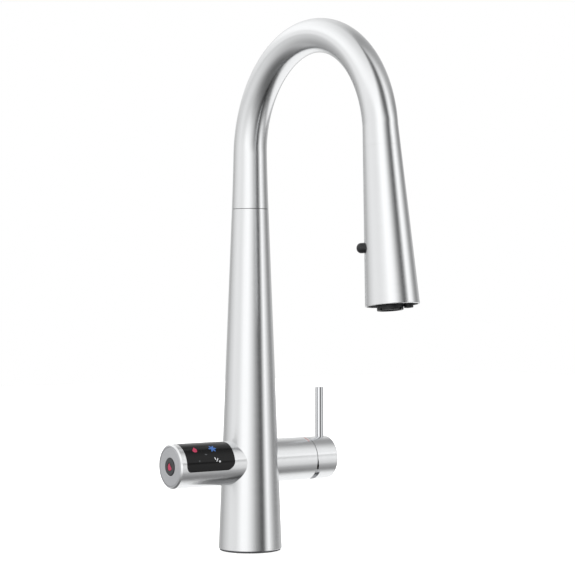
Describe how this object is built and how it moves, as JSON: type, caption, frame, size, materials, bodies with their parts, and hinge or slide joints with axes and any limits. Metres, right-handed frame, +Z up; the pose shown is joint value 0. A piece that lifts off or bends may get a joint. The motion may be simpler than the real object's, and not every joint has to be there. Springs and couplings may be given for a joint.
{
  "type": "boiling water tap",
  "caption": "Deck-mounted kitchen mixer and boiling water tap: tapered column, swivelling gooseneck, docked pull-out spray head, touch control arm and tilting mixer lever.",
  "frame": {"origin": "on the column's axis at the deck, in the plane of the underside of the base seal", "axes": "+Z up along the column, -Y the way the spout reaches, +X along the mixer arm, -X along the control arm"},
  "size_m": [0.1547, 0.2327, 0.4247],
  "materials": {
    "brushed_steel": "fine circumferential brush lines",
    "turned_steel": "concentric turned rings",
    "polished_steel": "polished",
    "spring_steel": "plain",
    "brass": "machined, unplated",
    "black_rubber": "moulded",
    "black_plastic": "moulded",
    "grey_plastic": "moulded",
    "white_plastic": "moulded",
    "black_glass": "gloss, printed black behind",
    "red_lens": "translucent, lit from behind",
    "circuit_board": "solder-masked board",
    "ceramic": "lapped ceramic",
    "magnet": "nickel-coated ring magnet",
    "braided_hose": "braided sheath"
  },
  "bodies": {
    "tap_body": {"body_column": "brushed_steel", "base_seal": "black_rubber", "foot_ring": "brass", "waterway_block": "brass", "cold_inlet": "brass", "mixed_outlet": "brass", "hot_inlet": "brass", "touch_panel": "black_glass", "light_guide": "white_plastic", "touch_board": "circuit_board", "control_tray": "black_plastic", "switch_board": "circuit_board", "boil_switch": "grey_plastic", "boil_button_spring": "spring_steel", "end_cap": "turned_steel", "cartridge_seal": "black_rubber", "cartridge_shell": "white_plastic", "ceramic_seat_disc": "ceramic", "cartridge_nut": "brass", "swivel_bush": "black_plastic"},
    "spout": {"gooseneck": "brushed_steel", "spray_hose": "braided_hose", "swivel_spigot": "brass", "swivel_clip": "spring_steel", "docking_collar": "black_plastic", "dock_magnet": "magnet"},
    "hose_end": {"hose_connector": "brass"},
    "spray_head": {"spray_shell": "brushed_steel", "dock_ring": "spring_steel", "spray_core": "black_plastic", "check_valve": "white_plastic", "outlet_block": "black_plastic", "face_plate": "black_plastic", "aerator_housing": "black_plastic", "aerator_insert": "grey_plastic", "filtered_nozzle": "black_plastic", "button_collar": "brass", "spray_button_spring": "spring_steel"},
    "spray_button": {"spray_button": "black_plastic"},
    "mixer_rotor": {"cartridge_rotor": "white_plastic", "stem_pin": "polished_steel"},
    "ceramic_disc": {"ceramic_slide_disc": "ceramic"},
    "handle": {"handle_cap": "brushed_steel", "lever_pin": "polished_steel", "lever_stem": "polished_steel", "grub_screw": "spring_steel", "grub_plug": "grey_plastic"},
    "boil_button": {"boil_button": "grey_plastic", "boil_button_lens": "red_lens"}
  },
  "joints": [
    {"name": "spout_swivel", "type": "hinge", "parent": "tap_body", "child": "spout", "pos_m": [0, 0, 0.2795], "axis": [0, 0, 1], "range_deg": [-90, 90]},
    {"name": "spray_pull", "type": "slide", "parent": "spout", "child": "hose_end", "axis": [0, -0.1071, -0.9942], "range_m": [0, 0.18], "deforming": ["spray_hose"]},
    {"name": "spray_turn", "type": "hinge", "parent": "hose_end", "child": "spray_head", "pos_m": [0, -0.1725, 0.33427], "axis": [0, 0.1071, 0.9942], "range_deg": [-180, 180]},
    {"name": "spray_button_press", "type": "slide", "parent": "spray_head", "child": "spray_button", "axis": [0.8171, -0.5731, 0.0618], "range_m": [0, 0.0025], "stiffness_N_per_m": 300, "springref_m": -0.002, "deforming": ["spray_button_spring"]},
    {"name": "mixer_temperature", "type": "hinge", "parent": "tap_body", "child": "mixer_rotor", "pos_m": [0.052, 0, 0.072], "axis": [1, 0, 0], "range_deg": [-45, 45]},
    {"name": "mixer_flow", "type": "hinge", "parent": "mixer_rotor", "child": "handle", "pos_m": [0.052, 0, 0.072], "axis": [0, 1, 0], "range_deg": [0, 13]},
    {"name": "disc_shift", "type": "slide", "parent": "mixer_rotor", "child": "ceramic_disc", "axis": [0, 0, 1], "range_m": [0, 0.00395]},
    {"name": "boil_button_press", "type": "slide", "parent": "tap_body", "child": "boil_button", "axis": [1, 0, 0], "range_m": [0, 0.001], "stiffness_N_per_m": 400, "springref_m": -0.002, "deforming": ["boil_button_spring"]}
  ],
  "couplings": [
    {"joint": "disc_shift", "follows": "mixer_flow", "m_per_rad": 0.0169}
  ]
}
